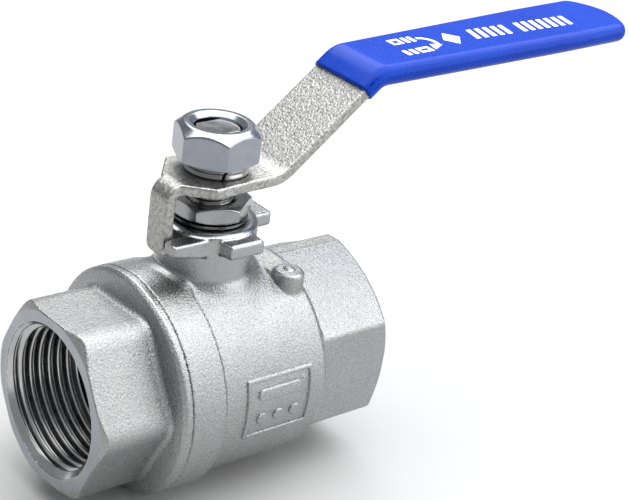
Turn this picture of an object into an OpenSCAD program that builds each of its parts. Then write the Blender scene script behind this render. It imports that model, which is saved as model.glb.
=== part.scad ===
// Two-piece threaded ball valve with a quarter-turn lever handle. Units: mm.
// +X runs along the pipe from inlet to outlet, +Z along the stem.
// The origin is the centre of the inlet thread's mouth.

/* [Pipe ends] */
// Distance from the origin to the ball's centre along the pipe
ball_x = 35.15; // [32:0.05:40]
// Inlet end face, measured from the ball's centre
inlet_face = -37.0; // [-42:0.1:-34]
// Outlet end face, measured from the ball's centre
outlet_face = 39.7; // [35:0.1:44]
// Radius of the thread wall in both ports (G 1 minor radius)
port_r = 15.15; // [14:0.05:16]
// Radius of the lead-in cone at each port's mouth
port_mouth_r = 17.0; // [16:0.1:18]
// Length of each thread wall behind the lead-in cone
port_len = 15.6; // [12:0.1:18]
// Radius of the straight flow passage
flow_r = 12.5; // [10:0.1:13]

/* [End cap] */
// Width across the inlet hexagon's flats
cap_af = 38.2; // [36:0.1:42]
// Turn of the inlet hexagon about the pipe axis, in degrees
cap_hex_turn = -2; // [-30:1:30]
// Radius of the inlet hexagon's rounded corners, from the pipe axis
cap_corner_r = 21.5; // [20:0.1:24]
// Radius of the turned inlet end face
end_face_r = 19.3; // [18:0.1:21]
// Front edge of the flange, measured from the ball's centre
flange_front = -20.0; // [-22:0.1:-18]
// Seam between the flange and the body, measured from the ball's centre
seam = -17.55; // [-19:0.05:-16]
// Radius of the flange's front edge
flange_r = 24.5; // [23:0.1:26]
// Radius of the threaded spigot that screws into the body
spigot_r = 21.0; // [20:0.1:22]
// Inner end of the spigot, measured from the ball's centre
spigot_end = -9.6; // [-12:0.1:-9]

/* [Body] */
// Radius of the body's collar next to the seam
collar_r = 25.2; // [24:0.1:27]
// Step from the collar to the barrel, measured from the ball's centre
collar_step = -9.1; // [-12:0.1:-7]
// Radius of the barrel
barrel_r = 23.85; // [22:0.05:25]
// Far end of the barrel, measured from the ball's centre
barrel_end = 18.2; // [16:0.1:21]
// Width across the outlet hexagon's flats
body_af = 39.3; // [37:0.1:43]
// Turn of the outlet hexagon about the pipe axis, in degrees
body_hex_turn = 33.5; // [0:0.5:60]
// Height of the outlet hexagon's middle above the pipe axis
body_hex_rise = 0.5; // [0:0.1:1]
// Radius of the outlet hexagon's rounded corners, from the pipe axis
body_corner_r = 23.0; // [20:0.05:24]
// Height of the narrow flat along the outlet hexagon's top corner
crown_z = 22.8; // [22:0.1:23]
// Radius of the ball chamber
chamber_r = 18.8; // [18:0.1:20]

/* [Neck and stops] */
// Outer radius of the stem neck
neck_r = 10.7; // [9:0.1:13]
// Radius of the neck's machined rim
rim_r = 10.25; // [9:0.05:12]
// Height of the neck's rim above the pipe axis
rim_z = 35.87; // [33:0.01:38]
// Radius of the flare where the neck meets the barrel
flare_r = 14.2; // [12:0.1:16]
// Height of the stop lugs' top face
lug_top = 35.0; // [33:0.1:36]
// Height of the stop lugs' underside
lug_bottom = 31.6; // [29:0.1:33]
// Reach of the stop lugs from the stem axis
lug_reach = 14.9; // [13:0.1:17]
// Gap between the handle's tab and a stop lug
stop_gap = 0.15; // [0.05:0.05:0.5]
// Position of the round boss beside the neck, from the stem axis
boss_x = 15.6; // [12:0.1:18]
// Side position of the round boss
boss_y = -10.3; // [-14:0.1:-8]
// Radius of the round boss
boss_r = 3.45; // [2:0.05:4]
// Height of the boss's flat top above the pipe axis
boss_top = 24.3; // [22:0.1:26]
// Height that the raised frame stands off the barrel
frame_h = 0.45; // [0.2:0.05:0.8]

/* [Ball and seats] */
// Radius of the ball
ball_r = 18.2; // [17:0.1:19]
// Gap between the ball and each seat
seat_gap = 0.3; // [0.3:0.05:0.6]
// Outer radius of the seats' pockets
seat_pocket_r = 17.6; // [16:0.1:18]
// Height of the ball slot's floor above the pipe axis
slot_floor = 14.0; // [13:0.1:15]
// Width of the ball slot
slot_w = 8.06; // [6:0.02:10]

/* [Stem] */
// Radius of the stem's shank
shank_r = 5.5; // [5:0.05:6.5]
// Radius of the stem's collar
stem_collar_r = 8.0; // [7:0.1:8.2]
// Radius of the stem's threaded end
stem_thread_r = 4.95; // [4:0.05:5]
// Width across the stem's two flats
stem_af = 7.2; // [6:0.1:8]
// Thickness of the tang that turns the ball
tang_w = 7.9; // [6:0.02:10]
// Length of the tang
tang_l = 13.0; // [10:0.1:14]
// Top of the stem above the pipe axis
stem_top = 55.9; // [52:0.1:58]
// Outer radius of the packing box
packing_r = 7.6; // [7:0.05:8]
// Running clearance on the stem
run = 0.06; // [0.02:0.01:0.1]

/* [Nuts and washers] */
// Width across flats of the gland nut
gland_af = 16.0; // [15:0.1:18]
// Underside of the gland nut above the pipe axis
gland_z = 37.0; // [36:0.1:39]
// Height of the gland nut
gland_h = 3.7; // [3:0.1:6]
// Width across flats of the handle nut
nut_af = 16.6; // [15:0.1:18]
// Height of the handle nut
nut_h = 8.1; // [6:0.1:9]
// Outer radius of the split lock washer
lock_r = 7.1; // [6.5:0.1:9]
// Thickness of the split lock washer
lock_h = 2.2; // [1.5:0.1:3]
// Outer radius of the disc washers
disc_r = 8.3; // [7:0.1:9]

/* [Lever] */
// Height of the lever plate's top face above the pipe axis
plate_top = 46.8; // [44:0.1:50]
// Thickness of the lever's sheet
sheet = 2.4; // [2:0.1:3.5]
// Side offset of the lever's centre line from the stem axis
lever_y = -0.6; // [-1.5:0.1:1.5]
// Half width of the lever strip
strip_w = 8.4; // [7:0.1:10]
// Rise angle of the lever's ramp, in degrees
ramp_deg = 38.8; // [20:0.1:50]
// Where the plate's top face and the ramp's top face would meet, from the stem axis
ramp_x = 11.36; // [9:0.01:14]
// Where the ramp's top face and the grip's top face would meet, from the stem axis
grip_x = 35.7; // [32:0.1:40]
// Upward slope of the grip, in degrees
grip_deg = 1.7; // [0:0.1:5]
// Inner radius of the lever's lower bend
bend_low = 6.5; // [3:0.1:9]
// Inner radius of the lever's upper bend
bend_high = 5.0; // [3:0.1:9]
// Outer face of the stop tab, from the stem axis
tab_x = -15.0; // [-17:0.1:-13]
// Lower end of the stop tab above the pipe axis
tab_bottom = 31.0; // [29:0.1:34]
// Near edge of the stop tab
tab_y0 = -5.0; // [-7:0.1:-3]
// Far edge of the stop tab
tab_y1 = 1.05; // [0:0.1:4]
// Inner radius of the tab's bend
tab_bend = 1.6; // [0.8:0.1:3]

/* [Grip sleeve] */
// Wall thickness of the sleeve above and below the lever
sleeve_t = 1.15; // [0.8:0.05:2]
// Half width of the sleeve at its open end
sleeve_w0 = 9.2; // [9:0.1:12]
// Half width of the sleeve near its closed end
sleeve_w1 = 10.7; // [9:0.1:13]
// Start of the sleeve along the ramp, back from the upper bend's corner
sleeve_back = 4.6; // [3:0.1:8]
// Length of the grip from the upper bend's corner to its tip
grip_len = 81.0; // [70:0.5:110]
// Radius of the grip's rounded corners, seen from above
tip_r = 7.2; // [4:0.1:10.5]
// Radius of the closed end seen from the side
nose_r = 2.9; // [2.6:0.1:5]

/* [Hidden] */
$fn = 96;
eps = 0.01;
steel = [0.76, 0.76, 0.75];
cast = [0.72, 0.72, 0.71];
zinc = [0.70, 0.72, 0.76];
ptfe = [0.94, 0.94, 0.92];
blue = [0.04, 0.20, 0.78];
mouth_depth = port_mouth_r - port_r;
seat_face = 11.7;
seat_back = 16.6;
stem_bore = shank_r + run;
lip_z = 21.9;
lip_top = 24.6;
plate_bottom = plate_top - sheet;
shoulder_z = 20.9;
washer_top = plate_top + lock_h;
pack_half = (packing_r - stem_bore) / 2;
pack_mid = (packing_r + stem_bore) / 2 - 0.015;
ring_r = packing_r - 0.03;
ring_step = 1.65;
bottom_ring_z = lip_top + 0.05;
mid_ring_z = bottom_ring_z + 1.6;
ramp_len = (grip_x - ramp_x) / cos(ramp_deg);
ramp_top_z = plate_top + (grip_x - ramp_x) * tan(ramp_deg);
bend_deg = ramp_deg - grip_deg;
low_cut = bend_low * tan(ramp_deg / 2);
high_cut = (bend_high + sheet) * tan(bend_deg / 2);
sleeve_h = sheet / 2 + sleeve_t;

// ---- shared shapes ----

// Places children with the ball's centre at the right point on the pipe axis.
module at_ball() {
    translate([ball_x, 0, 0])
        children();
}

// Solid cylinder along the pipe axis.
module rod_x(x0, x1, r) {
    translate([x0, 0, 0])
        rotate([0, 90, 0])
            cylinder(h = x1 - x0, r = r);
}

// Cone along the pipe axis.
module cone_x(x0, x1, r0, r1) {
    translate([x0, 0, 0])
        rotate([0, 90, 0])
            cylinder(h = x1 - x0, r1 = r0, r2 = r1);
}

// Hexagonal bar along the pipe axis, corners at turn + 60 degrees from +Y.
module hex_x(x0, x1, af, turn) {
    translate([x0, 0, 0])
        rotate([turn, 0, 0])
            rotate([90, 0, 90])
                cylinder(h = x1 - x0, r = af / 2 / cos(30), $fn = 6);
}

// Ring between two radii about the stem axis.
module ring_z(z0, z1, r0, r1) {
    translate([0, 0, z0])
        difference() {
            cylinder(h = z1 - z0, r = r1);
            translate([0, 0, -1])
                cylinder(h = z1 - z0 + 2, r = r0);
        }
}

// Hexagonal nut with turned chamfers, on the stem axis.
module hex_nut(z0, h, af, bore_r, face_r, turn, top_slope, bottom_slope) {
    corner = af / 2 / cos(30);
    top_drop = (corner - face_r) * top_slope;
    bottom_drop = (corner - face_r) * bottom_slope;
    translate([0, 0, z0])
        difference() {
            intersection() {
                rotate([0, 0, turn])
                    cylinder(h = h, r = corner, $fn = 6);
                rotate_extrude()
                    polygon([
                        [0, 0], [face_r, 0], [corner, bottom_drop],
                        [corner, h - top_drop], [face_r, h], [0, h]
                    ]);
            }
            translate([0, 0, -1])
                cylinder(h = h + 2, r = bore_r);
            translate([0, 0, h - 0.9])
                cylinder(h = 1, r1 = bore_r - 0.05, r2 = bore_r + 1.05);
        }
}

// ---- pressure shell ----

// Threaded port: plain wall at the thread's minor radius plus a lead-in cone.
module port_cut(face, side) {
    wall_start = side < 0 ? face + mouth_depth : face - mouth_depth - port_len;
    rod_x(wall_start - eps, wall_start + port_len + eps, port_r);
    if (side < 0)
        cone_x(face - eps, face + mouth_depth, port_mouth_r + eps, port_r);
    else
        cone_x(face - mouth_depth, face + eps, port_r, port_mouth_r + eps);
}

// Outlet hexagon with a narrow flat along its top corner, turned and chamfered at its nose.
module outlet_hex() {
    intersection() {
        union() {
            translate([0, 0, body_hex_rise])
                hex_x(barrel_end - 1, outlet_face, body_af, body_hex_turn);
            translate([barrel_end - 1, -1.8, 15])
                cube([outlet_face - barrel_end + 1, 4.4, crown_z - 15]);
        }
        union() {
            rod_x(barrel_end - 1, outlet_face - 2.2, body_corner_r);
            cone_x(outlet_face - 2.2 - eps, outlet_face, body_corner_r, end_face_r + 0.2);
        }
    }
}

// Turned outside of the body: collar, step, barrel and shoulder.
module body_turned() {
    rod_x(seam, collar_step, collar_r);
    cone_x(collar_step - eps, collar_step + 0.9, collar_r, barrel_r);
    rod_x(collar_step, barrel_end, barrel_r);
    cone_x(barrel_end - eps, barrel_end + 4.7, barrel_r, body_af / 2);
}

// Neck with its flare and machined rim.
module neck_outside() {
    translate([0, 0, 12])
        cylinder(h = rim_z - 12.45, r = neck_r);
    translate([0, 0, rim_z - 0.45 - eps])
        cylinder(h = 0.45 + eps, r1 = neck_r, r2 = rim_r);
    translate([0, 0, 18.5])
        cylinder(h = 6.5, r1 = flare_r, r2 = neck_r);
}

// Open-stop lug: a gusset whose far side is the stop face.
module lug_open() {
    back = tab_y0 - stop_gap;
    translate([0, back, 0])
        rotate([90, 0, 0])
            linear_extrude(3.9)
                polygon([
                    [-lug_reach, lug_top], [-lug_reach, lug_top - 2.4], [-8, 31],
                    [-4, 31], [-4, lug_top]
                ]);
}

// Near block that mirrors the stop on the other side of the neck.
module lug_near() {
    translate([0, 0, lug_bottom + 0.2])
        linear_extrude(lug_top - 0.7 - lug_bottom)
            polygon([[-3.3, -13.3], [4.6, -13.3], [5.4, -7], [-4.6, -7]]);
}

// Block on the outlet side.
module lug_outlet() {
    translate([6, -2.9, lug_bottom])
        cube([lug_reach + 0.3 - 6, 8.6, lug_top - lug_bottom]);
}

// Closed-stop lug on the far side of the neck.
module lug_closed() {
    translate([tab_y1 + stop_gap, 6, lug_bottom])
        cube([4.4, lug_reach - 6, lug_top - lug_bottom]);
}

// Round boss with a small dome, on a level pad that runs into the barrel's crown.
module side_boss() {
    translate([boss_x, boss_y, 14])
        cylinder(h = boss_top - 14.9, r = boss_r);
    translate([boss_x, boss_y, boss_top - 0.9 - eps])
        cylinder(h = 0.9 + eps, r1 = boss_r, r2 = boss_r - 0.9);
    translate([boss_x, boss_y, boss_top - 2.4])
        intersection() {
            sphere(r = 3.1);
            translate([0, 0, 2.3])
                cylinder(h = 2, r = 1.95);
        }
    translate([boss_x - boss_r + 0.3, boss_y, 14])
        cube([2 * boss_r - 0.6, -boss_y, boss_top - 0.9 - 14]);
}

// Raised rectangular frame on the barrel's near side, with plain marks in it.
module raised_frame() {
    difference() {
        intersection() {
            rod_x(-2.9, 14.8, barrel_r + frame_h);
            translate([-2.9, -30, -6.6])
                cube([17.7, 30, 14.3]);
        }
        intersection() {
            rod_x(-1.9, 13.8, barrel_r + frame_h + 1);
            translate([-1.9, -30, -5.6])
                cube([15.7, 30, 12.3]);
        }
    }
    intersection() {
        rod_x(-1, 13, barrel_r + frame_h);
        translate([0, -12, 0])
            rotate([90, 0, 0])
                linear_extrude(14)
                    plain_marks();
    }
}

// Round-ended bar above three discs.
module plain_marks() {
    translate([1.5, 2.2])
        square([9, 2.8]);
    for (x = [1.5, 10.5])
        translate([x, 3.6])
            circle(r = 1.4);
    for (x = [1.6, 6, 10.4])
        translate([x, -2.1])
            circle(r = 1.5);
}

module body() {
    color(cast)
        at_ball()
            difference() {
                union() {
                    body_turned();
                    outlet_hex();
                    neck_outside();
                    lug_open();
                    lug_near();
                    lug_outlet();
                    lug_closed();
                    side_boss();
                    raised_frame();
                }
                rod_x(seam - 1, collar_step - 0.2, spigot_r + 0.03);
                rod_x(seam - 1, seam + 1.2, spigot_r + 1.8);
                rod_x(-11, seat_face - 0.1, chamber_r);
                rod_x(seat_face - 1, seat_back, seat_pocket_r);
                rod_x(seat_back - 1, outlet_face - 16, flow_r);
                port_cut(outlet_face, 1);
                cylinder(h = lip_z, r = stem_collar_r + 0.3);
                cylinder(h = 40, r = stem_bore);
                translate([0, 0, lip_top])
                    cylinder(h = 20, r = packing_r);
            }
}

// Inlet hexagon, rounded at its corners and chamfered at its nose.
module inlet_hex() {
    intersection() {
        hex_x(inlet_face, flange_front - 0.4, cap_af, cap_hex_turn);
        union() {
            rod_x(inlet_face + 1.3, flange_front, cap_corner_r);
            cone_x(inlet_face, inlet_face + 1.3 + eps, end_face_r, cap_corner_r);
        }
    }
}

module end_cap() {
    color(cast)
        at_ball()
            difference() {
                union() {
                    inlet_hex();
                    cone_x(flange_front - 0.9, flange_front + eps, cap_af / 2, flange_r);
                    cone_x(flange_front, flange_front + 1, flange_r, collar_r);
                    rod_x(flange_front + 1 - eps, seam, collar_r);
                    rod_x(seam - 1, spigot_end, spigot_r);
                }
                port_cut(inlet_face, -1);
                rod_x(-22, -seat_back + 1, flow_r);
                rod_x(-seat_back, spigot_end + 1, seat_pocket_r);
            }
}

module body_gasket() {
    color(ptfe)
        at_ball()
            difference() {
                rod_x(seam + 0.02, seam + 1.18, spigot_r + 1.75);
                rod_x(seam - 1, seam + 3, spigot_r + 0.05);
            }
}

// ---- ball and seats ----

module ball() {
    color(steel)
        at_ball()
            difference() {
                sphere(r = ball_r);
                rod_x(-ball_r - 1, ball_r + 1, flow_r);
                translate([-slot_w / 2, -ball_r - 1, slot_floor])
                    cube([slot_w, 2 * ball_r + 2, 10]);
            }
}

// Outlet-side seat ring, cut to the ball's curve.
module seat_ring() {
    difference() {
        rod_x(seat_face, seat_back - 0.05, seat_pocket_r - 0.05);
        rod_x(seat_face - 1, seat_back + 1, flow_r + 0.2);
        sphere(r = ball_r + seat_gap);
    }
}

module seat_outlet() {
    color(ptfe)
        at_ball()
            seat_ring();
}

module seat_inlet() {
    color(ptfe)
        at_ball()
            mirror([1, 0, 0])
                seat_ring();
}

// ---- stem and its packing ----

module stem() {
    color(steel)
        at_ball()
            union() {
                intersection() {
                    translate([-tang_w / 2, -tang_l / 2, slot_floor + 0.25])
                        cube([tang_w, tang_l, 5]);
                    cylinder(h = 20, r = stem_collar_r - 0.2);
                }
                translate([0, 0, ball_r + 0.3])
                    cylinder(h = shoulder_z - ball_r - 0.3, r = stem_collar_r);
                translate([0, 0, shoulder_z - eps])
                    cylinder(h = 34.5 - shoulder_z, r = shank_r);
                translate([0, 0, 34.4])
                    cylinder(h = plate_bottom - 0.02 - 34.4, r = stem_thread_r);
                intersection() {
                    translate([0, 0, plate_bottom - 1])
                        cylinder(h = stem_top - 0.8 - plate_bottom + 1, r = stem_thread_r);
                    translate([-10, -stem_af / 2, 40])
                        cube([20, stem_af, 20]);
                }
                intersection() {
                    translate([0, 0, stem_top - 0.81])
                        cylinder(h = 0.81, r1 = stem_thread_r, r2 = stem_thread_r - 0.8);
                    translate([-10, -stem_af / 2, 40])
                        cube([20, stem_af, 20]);
                }
            }
}

module thrust_washer() {
    color(ptfe)
        at_ball()
            ring_z(shoulder_z + 0.05, lip_z - 0.02, stem_bore, stem_collar_r);
}

// Revolves a packing ring's half section about the stem axis.
module packing_profile(points) {
    color(ptfe)
        at_ball()
            rotate_extrude()
                polygon(points);
}

module packing_bottom() {
    z = bottom_ring_z;
    packing_profile([
        [stem_bore, z], [ring_r, z], [ring_r, z + 1.5],
        [pack_mid, z + 1.5 + pack_half], [stem_bore, z + 1.5]
    ]);
}

// One V-shaped middle ring with its lower edge at height z.
module packing_vee(z) {
    packing_profile([
        [stem_bore, z], [pack_mid, z + pack_half], [ring_r, z], [ring_r, z + 1.55],
        [pack_mid, z + 1.55 + pack_half], [stem_bore, z + 1.55]
    ]);
}

module packing_mid_lower() {
    packing_vee(mid_ring_z);
}

module packing_mid_upper() {
    packing_vee(mid_ring_z + ring_step);
}

module packing_top() {
    z = mid_ring_z + 2 * ring_step;
    packing_profile([
        [stem_bore, z], [pack_mid, z + pack_half], [ring_r, z], [ring_r, z + 2.6],
        [stem_bore, z + 2.6]
    ]);
}

module gland_follower() {
    z = mid_ring_z + 2 * ring_step + 2.65;
    color(steel)
        at_ball()
            ring_z(z, rim_z + 0.08, stem_bore, packing_r - 0.06);
}

// Disc washer: a shallow cone of sheet. dir = 1 opens upwards, -1 downwards.
module disc_washer(z, dir) {
    rise = 0.22;
    thick = 0.26;
    low = dir > 0 ? z : z + rise;
    high = dir > 0 ? z + rise : z;
    color(steel)
        at_ball()
            rotate_extrude()
                polygon([
                    [stem_thread_r + 0.25, low], [disc_r, high], [disc_r, high + thick],
                    [stem_thread_r + 0.25, low + thick]
                ]);
}

module disc_washer_lower() {
    disc_washer(rim_z + 0.13, 1);
}

module disc_washer_upper() {
    disc_washer(rim_z + 0.64, -1);
}

module gland_nut() {
    color(steel)
        at_ball()
            hex_nut(gland_z + 0.02, gland_h, gland_af, stem_thread_r + 0.05, 7.9, -24, 0.58, 0.58);
}

// ---- handle ----

// Side outline of the bent strip, in X and Z, grown by a margin on every side.
// The sheet is a hair thinner in its bends, as pressing leaves it.
module strip_side(grow) {
    thin = 0.04;
    lap = 0.2;
    t = sheet + 2 * grow;
    plate_end = ramp_x - low_cut;
    plate_start = tab_x + sheet + tab_bend;
    tab_top = plate_top - sheet - tab_bend;
    // flat plate
    translate([plate_start - lap, plate_bottom - grow])
        square([plate_end - plate_start + 2 * lap, t]);
    // lower bend
    translate([plate_end, plate_top + bend_low])
        strip_bend(bend_low - grow + thin, t - 2 * thin, -90, -90 + ramp_deg);
    // ramp
    translate([ramp_x, plate_top])
        rotate(ramp_deg)
            translate([low_cut - lap, -sheet - grow])
                square([ramp_len - low_cut - high_cut + 2 * lap, t]);
    // upper bend
    translate([grip_x, ramp_top_z])
        rotate(grip_deg)
            translate([high_cut, -bend_high - sheet])
                strip_bend(bend_high - grow + thin, t - 2 * thin, 90, 90 + bend_deg);
    // grip
    translate([grip_x, ramp_top_z])
        rotate(grip_deg)
            translate([high_cut - lap, -sheet - grow])
                square([grip_len - high_cut - sleeve_t - 0.6 + grow + lap, t]);
    // tab bend and tab
    translate([plate_start, tab_top])
        strip_bend(tab_bend - grow + thin, t - 2 * thin, 90, 180);
    translate([tab_x - grow, tab_bottom])
        square([t, tab_top - tab_bottom + lap]);
}

// Part of a flat ring between two angles less than 180 degrees apart.
module strip_bend(r0, thick, a0, a1) {
    r1 = r0 + thick;
    reach = 2 * r1;
    intersection() {
        difference() {
            circle(r = r1);
            circle(r = r0);
        }
        polygon([
            [0, 0], [reach * cos(a0), reach * sin(a0)],
            [reach * cos((a0 + a1) / 2), reach * sin((a0 + a1) / 2)],
            [reach * cos(a1), reach * sin(a1)]
        ]);
    }
}

// Outline of the lever seen from above, grown sideways by a margin.
module strip_plan(grow) {
    end_x = grip_x + grip_len + 5;
    polygon([
        [tab_x - 5, tab_y0], [-11.9, tab_y0], [-6.2, lever_y - strip_w - 1 - grow],
        [4, lever_y - strip_w - 0.2 - grow], [12, lever_y - strip_w - grow],
        [end_x, lever_y - strip_w - grow], [end_x, lever_y + strip_w + grow],
        [12, lever_y + strip_w + grow], [4, lever_y + strip_w + 0.2 + grow],
        [-6.2, lever_y + strip_w + 1 + grow], [-11.9, tab_y1 + 1], [-12.2, tab_y1],
        [tab_x - 5, tab_y1]
    ]);
}

// The lever's solid strip before its hole is cut.
module strip(grow) {
    intersection() {
        translate([0, 30, 0])
            rotate([90, 0, 0])
                linear_extrude(60)
                    strip_side(grow);
        translate([0, 0, tab_bottom - 5])
            linear_extrude(60)
                strip_plan(grow);
    }
}

module lever() {
    color(steel)
        at_ball()
            difference() {
                strip(0);
                intersection() {
                    translate([0, 0, plate_bottom - 1])
                        cylinder(h = sheet + 2, r = stem_thread_r + 0.1);
                    translate([-10, -stem_af / 2 - 0.1, 40])
                        cube([20, stem_af + 0.2, 10]);
                }
            }
}

// Sleeve cross-section: a flat bar with round long edges, X sideways, Y up.
module sleeve_section(half_w, half_h) {
    inner = half_w - half_h;
    translate([-inner, -half_h])
        square([2 * inner, 2 * half_h]);
    for (side = [-1, 1])
        translate([side * inner, 0])
            circle(r = half_h);
}

// Puts children in the grip's frame: X along the grip, Z square to its sheet.
module grip_frame() {
    translate([grip_x, lever_y, ramp_top_z])
        rotate([0, -grip_deg, 0])
            translate([0, 0, -sheet / 2])
                children();
}

// Plan shape of the grip: widening, with rounded far corners. Its widest part
// stands a little outside the section's round edges.
module grip_plan() {
    far = grip_len - tip_r;
    wide = sleeve_w1 + 0.4;
    polygon([
        [high_cut - 1, -sleeve_w0], [far - 6, -wide], [far, -wide],
        [far, wide], [far - 6, wide], [high_cut - 1, sleeve_w0]
    ]);
    translate([far - 1, -wide + tip_r])
        square([tip_r + 1, 2 * (wide - tip_r)]);
    for (side = [-1, 1])
        translate([far, side * (wide - tip_r)])
            circle(r = tip_r);
}

// Side shape of the grip's rounded closed end.
module grip_nose() {
    translate([high_cut - 2, -6])
        square([grip_len - nose_r - high_cut + 2, 12]);
    translate([grip_len - nose_r, 0])
        circle(r = nose_r);
}

// The sleeve is a hair thinner in the upper bend, where the dip runs off.
module sleeve_outside() {
    thin = 0.08;
    lap = 0.3;
    // straight grip
    grip_frame()
        intersection() {
            translate([high_cut - lap, 0, 0])
                rotate([90, 0, 90])
                    linear_extrude(grip_len - high_cut + 2)
                        sleeve_section(sleeve_w1, sleeve_h);
            translate([0, 0, -10])
                linear_extrude(20)
                    grip_plan();
            rotate([90, 0, 0])
                translate([0, 0, -20])
                    linear_extrude(40)
                        grip_nose();
        }
    // upper bend
    grip_frame()
        translate([high_cut, 0, -bend_high - sheet / 2])
            rotate([90, 0, 0])
                rotate([0, 0, 90])
                    rotate_extrude(angle = bend_deg)
                        translate([bend_high + sheet / 2, 0])
                            rotate(90)
                                sleeve_section(sleeve_w0 - thin, sleeve_h - thin);
    // open end on the ramp
    translate([grip_x, lever_y, ramp_top_z])
        rotate([0, -ramp_deg, 0])
            translate([-sleeve_back, 0, -sheet / 2])
                rotate([90, 0, 90])
                    linear_extrude(sleeve_back - high_cut + lap)
                        sleeve_section(sleeve_w0, sleeve_h);
}

module grip_sleeve() {
    color(blue)
        at_ball()
            difference() {
                sleeve_outside();
                strip(0.04);
            }
}

module lock_washer() {
    color(steel)
        at_ball()
            difference() {
                translate([0.3, -0.3, 0])
                    ring_z(plate_top + 0.02, washer_top - 0.02, stem_thread_r + 0.5, lock_r);
                rotate([0, 0, -109])
                    translate([0, -0.35, plate_top - 1])
                        cube([20, 0.7, lock_h + 2]);
            }
}

module handle_nut() {
    color(zinc)
        at_ball()
            hex_nut(washer_top, nut_h, nut_af, stem_thread_r + 0.05, 7.3, 8, 0.85, 0.3);
}

body();
end_cap();
body_gasket();
ball();
seat_inlet();
seat_outlet();
stem();
thrust_washer();
packing_bottom();
packing_mid_lower();
packing_mid_upper();
packing_top();
gland_follower();
disc_washer_lower();
disc_washer_upper();
gland_nut();
lever();
grip_sleeve();
lock_washer();
handle_nut();
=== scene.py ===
import math

import bpy
import numpy as np
from mathutils import Matrix, Vector


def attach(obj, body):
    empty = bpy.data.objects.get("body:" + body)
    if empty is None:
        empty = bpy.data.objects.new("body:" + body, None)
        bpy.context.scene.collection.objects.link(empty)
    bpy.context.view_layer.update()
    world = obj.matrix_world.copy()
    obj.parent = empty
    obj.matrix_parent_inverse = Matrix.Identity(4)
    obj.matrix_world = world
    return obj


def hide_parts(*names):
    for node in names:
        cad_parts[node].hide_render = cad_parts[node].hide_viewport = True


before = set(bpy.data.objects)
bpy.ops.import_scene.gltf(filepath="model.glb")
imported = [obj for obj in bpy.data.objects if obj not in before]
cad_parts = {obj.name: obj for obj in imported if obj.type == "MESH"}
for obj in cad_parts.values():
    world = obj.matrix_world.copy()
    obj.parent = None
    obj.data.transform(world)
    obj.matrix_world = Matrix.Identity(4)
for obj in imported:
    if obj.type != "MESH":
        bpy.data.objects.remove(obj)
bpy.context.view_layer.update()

# All shapes below are in millimetres about the ball's centre; SHIFT takes them to the row frame.
SHIFT = 35.15
MM = 0.001
scene = bpy.context.scene
rad = math.radians


# ---------------------------------------------------------------- distance fields

def join(a, b, r):
    """Union with a fillet of radius r."""
    if r <= 0:
        return np.minimum(a, b)
    return np.maximum(r, np.minimum(a, b)) - np.hypot(np.maximum(r - a, 0), np.maximum(r - b, 0))


def meet(a, b, r):
    """Intersection with its edge rounded to radius r."""
    if r <= 0:
        return np.maximum(a, b)
    return np.minimum(-r, np.maximum(a, b)) + np.hypot(np.maximum(r + a, 0), np.maximum(r + b, 0))


def cut(a, b, r=0.0):
    return meet(a, -b, r)


def slab(v, lo, hi):
    return np.maximum(lo - v, v - hi)


def polygon(x, y, points):
    """Signed distance to a closed polygon."""
    best = np.full(x.shape, 1e9, x.dtype)
    inside = np.zeros(x.shape, bool)
    for i, (bx, by) in enumerate(points):
        ax, ay = points[i - 1]
        ex, ey = bx - ax, by - ay
        wx, wy = x - ax, y - ay
        t = np.clip((wx * ex + wy * ey) / (ex * ex + ey * ey), 0, 1)
        best = np.minimum(best, (wx - t * ex) ** 2 + (wy - t * ey) ** 2)
        if ay != by:
            crosses = ((ay > y) != (by > y)) & (x < ex * (y - ay) / ey + ax)
            inside ^= crosses
    d = np.sqrt(best)
    return np.where(inside, -d, d)


def rounded_box(x, y, z, lo, hi, r):
    q = []
    for v, a, b in zip((x, y, z), lo, hi):
        q.append(np.abs(v - (a + b) / 2) - (b - a) / 2 + r)
    far = np.sqrt(sum(np.maximum(v, 0) ** 2 for v in q))
    return far + np.minimum(np.maximum(np.maximum(q[0], q[1]), q[2]), 0) - r


def hexagon(u, v, across, first, r):
    """Hexagon across its flats, first = angle of a flat's normal in degrees, corners rounded to r."""
    d = None
    for k in range(3):
        a = rad(first + 60 * k)
        f = np.abs(u * math.cos(a) + v * math.sin(a)) - across / 2
        d = f if d is None else meet(d, f, r)
    return d


def fillet(points, radii, steps=8):
    """Polygon with its corners turned into arcs."""
    out = []
    n = len(points)
    for i in range(n):
        p, a, b = (np.array(points[j % n], float) for j in (i, i - 1, i + 1))
        r = radii[i] if isinstance(radii, (list, tuple)) else radii
        u, v = a - p, b - p
        lu, lv = np.linalg.norm(u), np.linalg.norm(v)
        u, v = u / lu, v / lv
        half = math.acos(max(-1, min(1, float(u @ v)))) / 2
        if r <= 0 or half > rad(88):
            out.append(tuple(p))
            continue
        t = min(r / math.tan(half), 0.48 * lu, 0.48 * lv)
        r = t * math.tan(half)
        mid = (u + v) / np.linalg.norm(u + v)
        c = p + mid * r / math.sin(half)
        s, e = p + u * t - c, p + v * t - c
        sweep = math.atan2(s[0] * e[1] - s[1] * e[0], float(s @ e))
        for k in range(steps + 1):
            w = sweep * k / steps
            out.append((
                c[0] + s[0] * math.cos(w) - s[1] * math.sin(w),
                c[1] + s[0] * math.sin(w) + s[1] * math.cos(w),
            ))
    return out


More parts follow.
